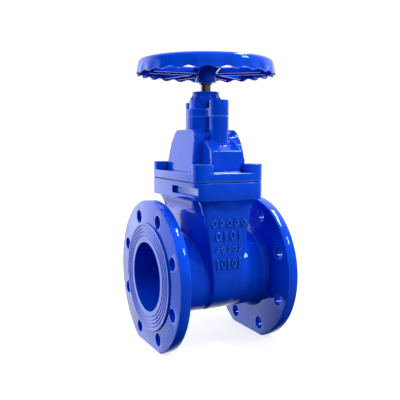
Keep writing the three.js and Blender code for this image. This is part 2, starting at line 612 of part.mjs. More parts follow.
const EAR_HALF_Y = GUIDE_HALF_Y - SLIDE - SHOE_T - GAP;
const wedgeNeck = (extra, z0) => box(
  [-WEDGE_NECK_HALF[0] - extra, WEDGE_NECK_HALF[0] + extra],
  [-WEDGE_NECK_HALF[1] - extra, WEDGE_NECK_HALF[1] + extra], [z0, OPEN_Z + WEDGE_TOP + 10 * extra]);
const NUT_Z = OPEN_Z + WEDGE_TOP - NUT_TOP_MARGIN - 2 * NUT_BASE_T;

function wedgeCore() {
  const slotHalf = NUT_HALF[1] + GAP;
  const slotTop = NUT_Z + NUT_BASE_T + GAP;
  return cut(join([disc(RUBBER_T), ears(EAR_HALF_X, EAR_HALF_Y, ...EAR_H), wedgeNeck(0, OPEN_Z)]), [
    bar(STEM_WAY_R, OPEN_Z - BORE_R - 1, OPEN_Z + WEDGE_TOP + 1),
    box([-WEDGE_NECK_HALF[0] - 1, WEDGE_NECK_HALF[0] + 1], [-slotHalf, slotHalf], [NUT_Z - GAP, slotTop]),
    box([-WEDGE_NECK_HALF[0] - 1, WEDGE_NECK_HALF[0] + 1], [-NUT_HUB_R - GAP, NUT_HUB_R + GAP],
      [slotTop - 1, OPEN_Z + WEDGE_TOP + 1]),
  ]);
}
place('wedge_core', wedgeCore(), ['ductile_iron', 0x4b4d50, 0.6, 0.6]);

function wedgeRubber() {
  return cut(disc(0), [
    disc(RUBBER_T - GAP),
    ears(EAR_HALF_X + GAP, GUIDE_HALF_Y, EAR_H[0] - GAP, EAR_H[1] + GAP),
    wedgeNeck(GAP, OPEN_Z),
    bar(STEM_WAY_R, OPEN_Z - BORE_R - 1, OPEN_Z),
  ]);
}
place('wedge_rubber', wedgeRubber(), RUBBER);

// A cap on each guide ear, open towards the wedge.
[-1, 1].forEach((side, i) => {
  const outer = EAR_HALF_X + GAP + SHOE_T;
  const inY = DISC_R + GAP;
  const outY = GUIDE_HALF_Y - SLIDE;
  const z = [OPEN_Z + EAR_H[0] - GAP - SHOE_T + 1, OPEN_Z + EAR_H[1] + GAP + SHOE_T];
  const y = [side * inY, side * outY].sort((a, b) => a - b);
  const shoe = box([-outer, outer], y, z)
    .subtract(ears(EAR_HALF_X + GAP, EAR_HALF_Y + GAP, EAR_H[0] - GAP, EAR_H[1] + GAP));
  place(`guide_shoe_${i + 1}`, shoe, POLYMER);
});

function stemNut() {
  const z = [NUT_Z, NUT_Z + NUT_BASE_T];
  return box([-NUT_HALF[0], NUT_HALF[0]], [-NUT_HALF[1], NUT_HALF[1]], z)
    .add(bar(NUT_HUB_R, z[1] - 1, z[1] + NUT_BASE_T, 0, 0))
    .subtract(bar(THREAD_R + GAP, z[0] - 1, z[1] + NUT_BASE_T + 1, 0, 0));
}
place('stem_nut', stemNut(), BRASS);

// ---------------------------------------------------------------- handwheel
// The rim is a pressed channel, open below. Its outer skirt ends in a wavy edge.
function rim() {
  const t = SHEET_T;
  const e = CROWN_EDGE;
  const inner = RIM_TOP_Z - RIM_INNER_H;
  const profile = [
    [WHEEL_R - t, RIM_Z], [WHEEL_R, RIM_Z], [WHEEL_R - 1, RIM_TOP_Z - e], [WHEEL_R - e - 1, RIM_TOP_Z],
    [RIM_INNER_R + e, RIM_TOP_Z], [RIM_INNER_R, RIM_TOP_Z - e], [RIM_INNER_R, inner],
    [RIM_INNER_R + t, inner], [RIM_INNER_R + e + 1, RIM_TOP_Z - t], [WHEEL_R - e - 2, RIM_TOP_Z - t],
    [WHEEL_R - t, RIM_Z],
  ].map(([r, z]) => new THREE.Vector2(r, z));
  const geometry = new THREE.LatheGeometry(profile, WHEEL_WAVES * 4).rotateX(Math.PI / 2);
  const p = geometry.attributes.position;
  for (let i = 0; i < p.count; i += 1) {
    if (p.getZ(i) < RIM_Z + 0.01) {
      const r = Math.hypot(p.getX(i), p.getY(i));
      const angle = Math.atan2(p.getY(i), p.getX(i));
      const wave = Math.cos(WHEEL_WAVES * (angle - (WAVE_ANGLE * Math.PI) / 180));
      const out = (r + WAVE_FLARE * (0.5 + 0.5 * wave)) / r;
      p.setXYZ(i, p.getX(i) * out, p.getY(i) * out, p.getZ(i) - WAVE * wave);
    }
  }
  return solid(geometry);
}

// One spoke: a channel, open below, from the spider to the rim's inner skirt.
function spoke(angle) {
  const half = SPOKE_W / 2;
  const z = [SPOKE_Z + SHEET_T - SPOKE_H, SPOKE_Z + SHEET_T];
  const x = [HUB_R + 4, RIM_INNER_R + SHEET_T / 2];
  return box(x, [-half, half], z)
    .subtract(box([x[0] - 1, x[1] + 1], [-half + SHEET_T, half - SHEET_T], [z[0] - 1, SPOKE_Z]))
    .rotate([0, 0, angle]);
}

function handwheel() {
  const angles = Array.from({ length: SPOKES }, (_, i) => SPOKE_ANGLE + (360 / SPOKES) * i);
  const spider = ring(HUB_NECK_R + GAP, SPIDER_R, SPOKE_Z, SPOKE_Z + SHEET_T);
  return join([rim(), spider, ...angles.map(spoke)]);
}
place('handwheel', handwheel(), EPOXY);

function hub() {
  const shoulder = HUB_Z + HUB_H;
  return turned([[0, HUB_Z], [HUB_R - 1.5, HUB_Z], [HUB_R, HUB_Z + 1.5], [HUB_R, shoulder],
    [HUB_NECK_R, shoulder], [HUB_NECK_R, HUB_TOP_Z], [0, HUB_TOP_Z]])
    .subtract(squareHole(HUB_Z, HUB_TOP_Z));
}
place('handwheel_hub', hub(), EPOXY);

place('handwheel_washer', ring(WHEEL_SCREW.r + LOOSE, WHEEL_WASHER.r, WASHER_Z,
  WASHER_Z + WHEEL_WASHER.t, SMALL), ZINC);
place('handwheel_screw', hexBar(2 * WHEEL_SCREW.headR * 0.866, SCREW_Z, SCREW_Z + WHEEL_SCREW.headH, 0, 0)
  .add(bar(WHEEL_SCREW.r, STEM_TOP_Z - WHEEL_SCREW.bite, SCREW_Z + 1, 0, 0, SMALL)), ZINC);

export default valve;
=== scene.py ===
# %% [markdown]
# This lesson dresses a flanged gate valve. The valve is a cast body with a bolted bonnet, a gland, a stem
# and a pressed handwheel. All castings wear one thick coat of glossy blue epoxy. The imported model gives
# every position, so each new piece is built straight at its place, in metres, and then rides on a body.

# %% Load the frame
import math

import bpy
from mathutils import Matrix, Vector


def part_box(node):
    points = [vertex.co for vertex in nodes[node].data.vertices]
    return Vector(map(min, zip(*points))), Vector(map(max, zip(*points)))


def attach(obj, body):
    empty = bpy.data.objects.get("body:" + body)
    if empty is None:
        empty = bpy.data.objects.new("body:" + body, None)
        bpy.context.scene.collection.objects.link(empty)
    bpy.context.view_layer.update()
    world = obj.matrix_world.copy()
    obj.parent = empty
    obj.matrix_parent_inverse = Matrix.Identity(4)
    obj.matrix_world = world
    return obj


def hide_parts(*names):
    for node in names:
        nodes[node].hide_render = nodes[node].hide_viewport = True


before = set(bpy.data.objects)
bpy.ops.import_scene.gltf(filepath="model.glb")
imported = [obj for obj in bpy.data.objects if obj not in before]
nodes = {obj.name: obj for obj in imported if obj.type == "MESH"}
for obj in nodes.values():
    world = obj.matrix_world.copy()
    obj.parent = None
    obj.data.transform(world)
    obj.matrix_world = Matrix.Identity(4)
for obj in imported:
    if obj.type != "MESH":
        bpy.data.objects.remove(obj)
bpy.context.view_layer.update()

# %% [markdown]
# Lengths in this file are millimetres, because castings are drawn in millimetres. MM turns them to metres.
# Operators act on whatever is selected, so every step starts from a cleared selection.

# %% Selection helpers
MM = 0.001


def lone(piece=None):
    """Leaves object mode, clears the selection and picks one piece."""
    if bpy.context.object and bpy.context.object.mode != "OBJECT":
        bpy.ops.object.mode_set(mode="OBJECT")
    bpy.ops.object.select_all(action="DESELECT")
    if piece:
        piece.select_set(True)
        bpy.context.view_layer.objects.active = piece


def placed(name):
    """Names the new object and moves its place into its mesh."""
    piece = bpy.context.object
    piece.name = piece.data.name = name
    bpy.ops.object.transform_apply(location=True, rotation=True, scale=True)
    return piece


def edit(piece, where=None, kind="VERT"):
    """Opens edit mode with the vertices, edges or faces picked whose middle (in mm) passes the test."""
    lone(piece)
    bpy.ops.object.mode_set(mode="EDIT")
    bpy.ops.mesh.select_mode(type=kind)
    bpy.ops.mesh.select_all(action="SELECT" if where is None else "DESELECT")
    if where is None:
        return
    bpy.ops.object.mode_set(mode="OBJECT")
    mesh = piece.data
    if kind == "VERT":
        for v in mesh.vertices:
            v.select = where(v.co / MM)
    elif kind == "EDGE":
        for e in mesh.edges:
            a, b = (mesh.vertices[i].co / MM for i in e.vertices)
            e.select = where((a + b) / 2, (b - a).normalized())
    else:
        for f in mesh.polygons:
            f.select = where(f.center / MM, f.normal)
    bpy.ops.object.mode_set(mode="EDIT")


print("one millimetre is", MM, "of a metre")

# %% [markdown]
# Castings start as simple solids, as a pattern maker would glue them up from blocks and turned bars.
# A bar is a cylinder at its size and place, and a block is a cube stretched between two corners.

# %% Bars and blocks
TURN = {"X": (0, math.pi / 2, 0), "Y": (math.pi / 2, 0, 0), "Z": (0, 0, 0)}


def bar(name, r, low, high, a=0.0, b=0.0, along="Z", sides=96):
    """A round bar along an axis. a and b are its place on the other two axes, in their order."""
    lone()
    middle = (low + high) / 2
    place = {"X": (middle, a, b), "Y": (a, middle, b), "Z": (a, b, middle)}[along]
    bpy.ops.mesh.primitive_cylinder_add(vertices=sides, radius=r * MM, depth=(high - low) * MM,
                                        location=Vector(place) * MM, rotation=TURN[along])
    return placed(name)


def block(name, x, y, z):
    """A box between two corners."""
    lone()
    middle = (sum(x) / 2 * MM, sum(y) / 2 * MM, sum(z) / 2 * MM)
    bpy.ops.mesh.primitive_cube_add(size=MM, location=middle)
    bpy.context.object.scale = (x[1] - x[0], y[1] - y[0], z[1] - z[0])
    return placed(name)


def shift(piece, where, by):
    """Moves the vertices that pass the test, by millimetres."""
    edit(piece, where)
    bpy.ops.transform.translate(value=Vector(by) * MM)
    lone(piece)


def rounded(piece, where, size, steps=6):
    """Rolls a radius on the edges that pass the test."""
    edit(piece, where, "EDGE")
    bpy.ops.mesh.bevel(offset=size * MM, segments=steps, affect="EDGES")
    lone(piece)


print("bars can lie along", ", ".join(TURN))

# %% [markdown]
# Solids are glued, cut and trimmed with the Boolean modifier. The manifold solver is quick and always
# gives a closed shape from closed shapes. Each modifier is applied at once, so the mesh is what is seen.

# %% Glue, cut and trim
SOLVER = "MANIFOLD"


def applied(piece, kind, **settings):
    """Adds one modifier with these settings and applies it."""
    lone(piece)
    modifier = piece.modifiers.new(kind.title(), kind)
    for key, value in settings.items():
        setattr(modifier, key, value)
    bpy.ops.object.modifier_apply(modifier=modifier.name)
    return piece


def combined(piece, tools, how):
    """Glues the tools together first, because one big cut is quicker than many."""
    tools = list(tools)
    for tool in tools[1:]:
        combined(tools[0], [tool], "UNION")
    applied(piece, "BOOLEAN", operation=how, solver=SOLVER, object=tools[0])
    bpy.data.objects.remove(tools[0])
    return piece


def glue(piece, *tools):
    return combined(piece, tools, "UNION")


def cut(piece, *tools):
    return combined(piece, tools, "DIFFERENCE")


def trim(piece, tool):
    return combined(piece, [tool], "INTERSECT")


print("solids are joined by the", SOLVER.lower(), "solver")

# %% [markdown]
# Turned faces and rims are drawn as half a section and spun round an axis, as on a lathe. The section is
# made from one vertex that is extruded from point to point.

# %% Sections and lathe work
LATHE_STEPS = 128


def drawn(name, points):
    """An open line of edges through points in mm, made by extruding one vertex."""
    lone()
    bpy.ops.mesh.primitive_plane_add(size=MM, location=Vector(points[0]) * MM)
    piece = placed(name)
    edit(piece)
    bpy.ops.mesh.merge(type="CENTER")
    for here, there in zip(points, points[1:]):
        step = (Vector(there) - Vector(here)) * MM
        bpy.ops.mesh.extrude_region_move(TRANSFORM_OT_translate={"value": step})
    lone(piece)
    return piece


def outwards(piece, merge=1e-6):
    """Merges doubles, then turns all faces out."""
    edit(piece)
    bpy.ops.mesh.remove_doubles(threshold=merge)
    bpy.ops.mesh.normals_make_consistent(inside=False)
    lone(piece)
    return piece


def turned(name, points, axis="Z", sides=LATHE_STEPS, closed=False):
    """Spins (radius, height) pairs round the stem or, with axis X, round the pipe axis."""
    if axis == "Z":
        piece = drawn(name, [(r, 0, h) for r, h in points + (points[:1] if closed else [])])
        middle, pole = (0, 0, 0), (0, 0, 1)
    else:
        piece = drawn(name, [(h, 0, r + PIPE_Z) for r, h in points + (points[:1] if closed else [])])
        middle, pole = (0, 0, PIPE_Z * MM), (1, 0, 0)
    edit(piece)
    bpy.ops.mesh.spin(steps=sides, angle=2 * math.pi, center=middle, axis=pole)
    return outwards(piece)


def prism(name, points, x):
    """A closed outline in (y, z), stretched along x."""
    piece = drawn(name, [(x[0], y, z) for y, z in points])
    edit(piece)
    bpy.ops.mesh.edge_face_add()
    bpy.ops.mesh.extrude_region_move(TRANSFORM_OT_translate={"value": ((x[1] - x[0]) * MM, 0, 0)})
    return outwards(piece)


print("one turn on the lathe is", LATHE_STEPS, "steps")

# %% [markdown]
# Sand casting leaves no sharp corners. To get that, the glued pattern is wrapped in an even skin of small
# squares with a voxel remesh, and the skin is smoothed. Every outer edge and inner corner then gets the
# same soft radius, which a bevel can't manage where many solids meet.

# %% Cast skin
SKIN = {"body": (1.35, 7), "bonnet": (1.15, 6), "gland": (0.9, 6)}


def cast(piece, kind):
    grain, passes = SKIN[kind]
    applied(piece, "REMESH", mode="VOXEL", voxel_size=grain * MM)
    applied(piece, "SMOOTH", factor=0.5, iterations=passes)
    return piece


def shaded(piece, degrees=32):
    lone(piece)
    bpy.ops.object.shade_smooth_by_angle(angle=math.radians(degrees))
    print(piece.name, "has", sum(len(f.vertices) - 2 for f in piece.data.polygons), "triangles")
    return piece


print("skin squares in mm and smoothing passes:", SKIN)

# %% [markdown]
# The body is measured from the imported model. The pipe runs along X at the height of the flange radius
# less the slice that the standing flats take off.

# %% Measure the body
body_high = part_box("valve_body")[1]
face_x = body_high.x / MM
flange_r = body_high.y / MM
joint_z = body_high.z / MM
foot_cut = 9.0
PIPE_Z = flange_r - foot_cut
bore_r, barrel_r, raised_r, raised_h, flange_t = 50.0, 57.5, 78.0, 3.0, 16.0
flange_back = face_x - raised_h - flange_t
top_half_x, top_half_y = (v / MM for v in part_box("bonnet")[1].xy)
corner_r = 15.5
top_flange_t = 24.4
draft, lift = 0.1, 105.3
print("pipe axis at", round(PIPE_Z, 1), "joint face at", round(joint_z, 1))

# %% [markdown]
# The wedge chamber is a U across the pipe: straight sides that open slightly towards the top, and a half
# round bottom. The same U, thicker and thinner, makes the housing outside and the chamber inside. The
# outside is trimmed by two very large cylinders, so that its walls belly out a little, as a pressure
# vessel's walls do.

# %% U-shaped prisms
def u_prism(name, half_y, bottom, top, half_x_low, half_x_high):
    """A U in (y, z) whose half thickness grows from half_x_low at the bottom to half_x_high at the top."""
    centre = bottom + half_y
    reach = max(half_x_low, half_x_high) + 5
    piece = bar(name, half_y, -reach, reach, 0, centre, "X", 128)
    glue(piece, block("upper", (-reach, reach), (-half_y, half_y), (centre - 1, top)))
    taper = block("taper", (-half_x_low, half_x_low), (-half_y - 5, half_y + 5), (bottom - 1, top + 1))
    for side in (-1, 1):
        shift(taper, lambda p: p.x * side > 0 and p.z > top, (side * (half_x_high - half_x_low), 0, 0))
    return trim(piece, taper)


def shell_half_x(height):
    return 31 + draft * (height - PIPE_Z)


def pad_half_x(height):
    return 22.4 + 0.137 * (height - PIPE_Z)


barrel_bottom = PIPE_Z - barrel_r
flange_under = joint_z - top_flange_t
shell_half_y, pad_half_y = 59.0, 71.0
core = u_prism("valve_casting", shell_half_y, barrel_bottom, joint_z - 8,
               shell_half_x(barrel_bottom), shell_half_x(joint_z - 8))
bulge_r = 350.0
for side in (-1, 1):
    lens_x = side * (shell_half_x(barrel_bottom) - bulge_r)
    lens = bar("lens", bulge_r, barrel_bottom - 2, joint_z, lens_x, 0, "Z", 512)
    shift(lens, lambda p: p.z > PIPE_Z, (side * (shell_half_x(joint_z) - shell_half_x(barrel_bottom)), 0, 0))
    trim(core, lens)
glue(core, u_prism("pad", pad_half_y, barrel_bottom, joint_z - 8,
                   pad_half_x(barrel_bottom), pad_half_x(joint_z - 8)),
     bar("barrel", barrel_r, -flange_back - 4, flange_back + 4, 0, PIPE_Z, "X", 128))
print("housing glued,", len(core.data.vertices), "vertices")

# %% [markdown]
# Under the top flange the housing flares out in a hollow curve, so that the flange and the wall are cast
# without a hot spot. It is stacked from thin plates that grow step by step, and the cast skin smooths the
# steps away. On the two pads it bows out to the middle, so there a piece of a turned ring is glued on.
# The barrel meets both flanges in a short cone for the same reason as the flare.

# %% Flare and cones
def plate(name, half_x, half_y, z, corner):
    piece = block(name, (-half_x, half_x), (-half_y, half_y), z)
    rounded(piece, lambda m, d: abs(d.z) > 0.9, corner, 8)
    return piece


flare_rise, flare_reach, flare_steps = 18.0, 9.4, 12
layers = []
for i in range(flare_steps):
    z = flange_under - flare_rise * (1 - i / flare_steps)
    t = (i + 0.5) / flare_steps
    grown = flare_reach * (0.35 * t + 0.65 * (1 - math.sqrt(1 - t * t)))
    layers += [plate("flare", pad_half_x(z) + grown, pad_half_y + grown * t, (z, z + 4), 3 + grown),
               plate("flare", shell_half_x(z) + grown, shell_half_y + grown, (z, z + 4), 14)]
glue(core, *layers)
bow_r = 166.0
for side in (-1, 1):
    profile = [(bow_r - 12, flange_under - flare_rise - 4)]
    for i in range(9):
        t = i / 8
        profile.append((bow_r - 0.6 + (flare_reach + 0.6) * (0.8 * t + 0.2 * (1 - math.sqrt(1 - t * t))),
                        flange_under - flare_rise * (1 - t)))
    profile += [(profile[-1][0], flange_under + 4), (bow_r - 12, flange_under + 4)]
    bow = turned("bow", profile, sides=256, closed=True)
    shift(bow, lambda p: True, (0, -side * (bow_r - pad_half_y), 0))
    reach_x = pad_half_x(flange_under) + 5
    window_y = sorted((side * (pad_half_y - 9), side * (top_half_y - 0.4)))
    window = block("window", (-reach_x, reach_x), window_y,
                   (flange_under - flare_rise - 6, flange_under + 4))
    for x_side in (-1, 1):
        shift(window, lambda p: p.x * x_side > 0 and p.z < flange_under - flare_rise,
              (-x_side * 7.5, 0, 0))
    glue(core, trim(bow, window))
for side in (-1, 1):
    glue(core, turned("cone", [(0, side * (flange_back - 9)), (barrel_r - 1, side * (flange_back - 9)),
                               (barrel_r + 2, side * (flange_back - 4)),
                               (barrel_r + 7, side * (flange_back + 2)), (0, side * (flange_back + 2))], "X"))
cast(core, "body")
print("cast skin,", len(core.data.vertices), "vertices")

# %% [markdown]
# Flanges are turned on a lathe after casting, so their edges are crisper than the casting's. The face has
# a raised ring with shallow grooves that bite into the gasket. They are glued on as clean turned solids.

# %% Pipe flanges
groove_first, groove_pitch, groove_deep, groove_half, groove_count = 58.5, 4.8, 0.75, 1.7, 4


def flange_section():
    """Half a section of the inlet flange, from the axis at the back to the axis at the face."""
    front = face_x - raised_h
    points = [(0, flange_back), (flange_r - 2.2, flange_back), (flange_r - 0.7, flange_back + 0.6),
              (flange_r, flange_back + 2.2), (flange_r, front - 1.4), (flange_r - 0.5, front - 0.4),
              (flange_r - 1.6, front), (raised_r + 1.2, front), (raised_r + 0.3, front + 0.3),
              (raised_r, front + 1.2), (raised_r, face_x - 0.6), (raised_r - 0.6, face_x)]
    for i in reversed(range(groove_count)):
        r = groove_first + i * groove_pitch
        points += [(r + groove_half, face_x), (r + 0.5, face_x - groove_deep),
                   (r - 0.5, face_x - groove_deep), (r - groove_half, face_x)]
    return points + [(bore_r + 1.2, face_x), (0, face_x)]


for side in (-1, 1):
    glue(core, turned("flange", [(r, side * x) for r, x in flange_section()], "X", 192))
print("flanges glued")

# %% [markdown]
# The top flange is a thick plate with round corners and a fine radius on its edges. Each side has a long
# pocket that saves iron, turned half round the stem from one another.

# %% Top flange and its pockets
top_flange = plate("top_flange", top_half_x, top_half_y, (flange_under, joint_z), corner_r)
rounded(top_flange, lambda m, d: abs(d.z) < 0.1 and (m.z < flange_under + 1 or m.z > joint_z - 1), 1.1, 3)
glue(core, top_flange)
pocket_deep, pocket_high, pocket_drop = 6.0, 11.0, 6.5
for side in (-1, 1):
    x = sorted((side * (top_half_x + 4), side * (top_half_x - pocket_deep)))
    y = sorted((0, side * (top_half_y - 6)))
    pocket = block("pocket", x, y, (joint_z - pocket_drop - pocket_high, joint_z - pocket_drop))
    rounded(pocket, lambda m, d: abs(d.x) > 0.9 or abs(m.x) < top_half_x, 1.4, 3)
    cut(core, pocket)
print("top flange glued and pocketed")

# %% [markdown]
# Now the machine shop: the bore, the wedge chamber, the bolt holes, the tapped holes for the bonnet and
# the flats that the valve stands on.

# %% Bore, chamber and holes
chamber_r = bore_r + 3
chamber_bottom = PIPE_Z - bore_r
guide_half_x, guide_reach = 10.3, chamber_r + 10
mouth = face_x - 1.2


def upright_chamber(name, top):
    """The room that the wedge slides in, up to a height."""
    return u_prism(name, chamber_r, chamber_bottom, top, 18, 23 + draft * (top - PIPE_Z))


cut(core, turned("bore", [(0, -face_x - 9), (bore_r, -face_x - 9), (bore_r, -mouth), (bore_r, -mouth + 2),
                          (bore_r, mouth - 2), (bore_r, mouth), (bore_r, face_x + 9), (0, face_x + 9)],
                 "X", 192),
    upright_chamber("chamber", joint_z + 2))
guide = u_prism("guide", guide_reach, chamber_bottom, joint_z + 2, guide_half_x, guide_half_x)
trim(guide, block("above", (-40, 40), (-90, 90), (PIPE_Z + 2, joint_z + 2)))
cut(core, guide)
bolt_circle, bolts, bolt_hole_r = 90.0, 8, 9.5
holes = []
for i in range(bolts):
    angle = (i + 0.5) * 2 * math.pi / bolts
    y, z = bolt_circle * math.cos(angle), PIPE_Z + bolt_circle * math.sin(angle)
    for low, high in ((-face_x - 2, -flange_back + 2), (flange_back - 2, face_x + 2)):
        holes.append(bar("hole", bolt_hole_r, low, high, y, z, "X", 48))
bonnet_bolts = [(sx * (top_half_x - corner_r), sy * (top_half_y - corner_r))
                for sx in (-1, 1) for sy in (-1, 1)]
holes += [bar("tapped", 6.3, joint_z - 18, joint_z + 2, x, y, "Z", 32) for x, y in bonnet_bolts]
cut(core, *holes, block("floor", (-120, 120), (-120, 120), (-20, 0)))
print("machined")

# %% [markdown]
# The front pad carries rows of small raised marks from the mould. They are plain rings, rounded diamonds,
# rounded triangles and bars that mean nothing. They stand proud by the depth of a mould's letter stamps.

# %% Raised marks
mark_stroke, mark_proud, mark_round = 1.8, 2.1, 0.36


def ring_mark(x, z, half_x, half_z, corners):
    lone()
    bpy.ops.mesh.primitive_torus_add(major_segments=corners, minor_segments=8, major_radius=MM,
                                     minor_radius=mark_round * MM, rotation=TURN["Y"],
                                     location=(x * MM, -pad_half_y * MM, z * MM))
    size = 1 + mark_round
    bpy.context.object.scale = (half_x / size, half_z / size, mark_proud / mark_round)
    return placed("ring_mark")


def bar_mark(x, z, lean, half_z):
    piece = block("bar_mark", (x - mark_stroke, x + mark_stroke), (-pad_half_y - mark_proud, -pad_half_y + 1),
                  (z - half_z, z + half_z))
    shift(piece, lambda p: p.z > z, (lean, 0, 0))
    rounded(piece, lambda m, d: m.y < -pad_half_y, 0.9, 2)
    return piece


mark_rows = ((5, 81.5, 11.8, 7.6), (4, 63.5, 11.4, 6.8), (5, 45.0, 8.9, 5.2), (5, 23.5, 8.5, 7.4))
marks = []
for row, (count, height, pitch, half_z) in enumerate(mark_rows):
    for i in range(count):
        x, z = (i - (count - 1) / 2) * pitch, PIPE_Z + height
        kind = (2 * i + row) % 4
        marks.append(bar_mark(x, z, (i - 2) * 0.6, half_z) if kind == 3
                     else ring_mark(x, z, pitch * 0.44, half_z, (4, 24, 3)[kind]))
glue(core, *marks)
shaded(core)
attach(core, "valve")
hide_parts("valve_body")

# %% [markdown]
# The bonnet covers the raised wedge. It is a drum with round shoulders across the pipe, a square block
# over each end of the wedge, and a neck for the gland. Two corners of the drum are cut square, so that a
# screw can pass. The same shapes, a wall's thickness smaller, make the hollow inside.

# %% Measure the bonnet
bonnet_low, bonnet_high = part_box("bonnet")
bonnet_z, neck_z = bonnet_low.z / MM, bonnet_high.z / MM
plate_z = bonnet_z + 11.3
dome_z = neck_z - 18.5
boss_z = plate_z + 12.2
drum_r, drum_wall, drum_half_x, drum_lean = 50.5, 7.0, 39.5, 0.082
cut_y, corner_wall = 35.0, 3.5
shoulder = ((0.475, 0), (0.545, 0.016), (0.653, 0.095), (0.762, 0.234), (0.871, 0.412), (0.98, 0.788))
lodge_half_x, lodge_end, eaves_up, roof_run, roof_slope = 24.0, top_half_y - 14.5, 29.5, 21.5, 0.7
neck_r = 29.0
lobes = ((-40.0, 14.0), (40.0, 12.0))
print("bonnet from", round(bonnet_z, 1), "to", round(neck_z, 1))


def drum(name, inset, corner_y, corner_x):
    """The drum, with the two corners beyond corner_y cut away."""
    r = drum_r - inset
    low = drum_half_x - inset + drum_lean * (plate_z - bonnet_z)
    high = drum_half_x - inset - drum_lean * (dome_z - plate_z)
    half = [(y * r, dome_z - inset - drop * r) for y, drop in shoulder]
    outline = [(-r, bonnet_z), (r, bonnet_z), *reversed(half), *[(-y, z) for y, z in half]]
    piece = prism(name, outline, (-60, 60))
    taper = block("taper", (-low, low), (-r - 5, r + 5), (bonnet_z, dome_z))
    for side in (-1, 1):
        shift(taper, lambda p: p.x * side > 0 and p.z > dome_z - 1, (side * (high - low), 0, 0))
    trim(piece, taper)
    for side in (-1, 1):
        x, y = sorted((side * 70, side * corner_x)), sorted((side * corner_y, side * 90))
        cut(piece, block("corner", x, y, (bonnet_z - 2, dome_z + 2)))
    return piece


def lodges(name, inset):
    """The blocks over both ends of the wedge, under one roof that rises to the middle."""
    end, eaves = lodge_end - inset, plate_z + eaves_up - inset
    half, ridge = end - roof_run, eaves + roof_slope * roof_run
    return prism(name, [(-end, bonnet_z), (end, bonnet_z), (end, eaves), (half, ridge), (-half, ridge),
                        (-end, eaves)], (inset - lodge_half_x, lodge_half_x - inset))


# %% [markdown]
# The bonnet's skin is cast from the drum, the blocks, the neck and the two screw lobes. The bolting plate
# and its corner bosses are glued on after that, because their edges are crisper.

# %% Bonnet casting
bonnet = drum("bonnet_casting", 0, cut_y, 0)
glue(bonnet, lodges("lodges", 0), bar("neck", neck_r, dome_z - 15, neck_z + 4),
     plate("foot", top_half_x - 1.6, top_half_y - 1.6, (bonnet_z - 3, plate_z - 0.15), 14),
     *[bar("lobe", r, plate_z + eaves_up, neck_z + 4, 0, y) for y, r in lobes])
cast(bonnet, "bonnet")
bolting_plate = plate("bolting_plate", top_half_x, top_half_y, (bonnet_z - 3, plate_z), corner_r + 1)
rounded(bolting_plate, lambda m, d: abs(d.z) < 0.1 and m.z > plate_z - 1, 1.2, 3)
glue(bonnet, bolting_plate)
for x, y in bonnet_bolts:
    boss = bar("boss", corner_r, bonnet_z - 3, boss_z, x, y)
    rounded(boss, lambda m, d: m.z > boss_z - 1, 1.3, 3)
    glue(bonnet, boss)
print("bonnet glued,", len(bonnet.data.vertices), "vertices")

# %% [markdown]
# The bonnet is hollow, because the raised wedge hides in it. The same drum and blocks, a wall's thickness
# smaller, make that room. The plate below is opened only as far as the raised disc and its guide shoes
# need, so that it stays closed under the two cut corners. The screw seats and the stem's way are drilled.

# %% Bonnet machining
disc_room, raised_z, stem_way_r = 53.7, PIPE_Z + lift + 3, 11.8
upper_chamber = upright_chamber("upper_chamber", plate_z + 2)
trim(upper_chamber, bar("raised_disc", disc_room, -60, 60, 0, raised_z, "X", 128))
hollow = drum("hollow", drum_wall, cut_y - corner_wall, lodge_half_x - drum_wall)
glue(hollow, lodges("lodge_hollow", drum_wall), upper_chamber)
slot = block("slot", (-guide_half_x, guide_half_x), (-guide_reach, guide_reach), (bonnet_z - 3, plate_z + 2))
glue(hollow, slot)
trim(hollow, block("inside", (-60, 60), (-90, 90), (bonnet_z - 5, dome_z - drum_wall)))
cut(bonnet, hollow, bar("stem_way", stem_way_r, dome_z - 12, neck_z + 1),
    bar("collar_way", 16.8, neck_z - 12.7, neck_z + 5),
    block("below", (-90, 90), (-90, 90), (bonnet_z - 6, bonnet_z)),
    block("above", (-90, 90), (-90, 90), (neck_z, neck_z + 8)),
    *[bar("tapped", 5.3, neck_z - 20, neck_z + 1, 0, y, "Z", 32) for y, r in lobes])
cut(bonnet, *[bar("clear", 6.8, bonnet_z - 1, boss_z + 1, x, y, "Z", 48) for x, y in bonnet_bolts],
    *[bar("socket", 9.8, plate_z, boss_z + 1, x, y, "Z", 64) for x, y in bonnet_bolts])
shaded(bonnet)
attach(bonnet, "valve")
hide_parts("bonnet")

# %% [markdown]
# The gland holds the stem's bush and seals. It is a round column on a plate, with two tall lobes for its
# screws. The lobes carry on the bonnet's lobes below. Its top ring is turned.

# %% Gland
gland_low, gland_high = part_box("gland")
gland_z, gland_top = gland_low.z / MM, gland_high.z / MM
gland = bar("gland_casting", neck_r, gland_z - 3, gland_z + 11)
glue(gland, bar("column", 24, gland_z, gland_z + 24),
     *[block("bridge", (-r, r), sorted((0, y)), (gland_z - 3, gland_z + 11)) for y, r in lobes],
     *[bar("lobe", r, gland_z - 3, gland_z + 22.6, 0, y) for y, r in lobes])
cast(gland, "gland")
glue(gland, turned("turned_top", [(0, gland_z + 15), (23.6, gland_z + 15), (23.9, gland_z + 24),
                                  (23.5, gland_z + 25.6), (22.6, gland_z + 26.6), (20.4, gland_z + 29.6),
                                  (19.8, gland_z + 30.4), (19.8, gland_top - 1.2), (19.4, gland_top - 0.35),
                                  (18.6, gland_top), (0, gland_top)]))
cut(gland, block("below", (-90, 90), (-90, 90), (gland_z - 6, gland_z)),
    bar("bush_bore", 15.3, gland_z - 1, gland_z + 27.8), bar("stem_bore", 8.3, gland_z, gland_top + 1),
    bar("wiper_bore", 12.3, gland_top - 5.7, gland_top + 1),
    turned("seal_groove", [(21.2, gland_z - 1), (23.8, gland_z - 1), (23.8, gland_z + 2.3),
                           (21.2, gland_z + 2.3)], closed=True))
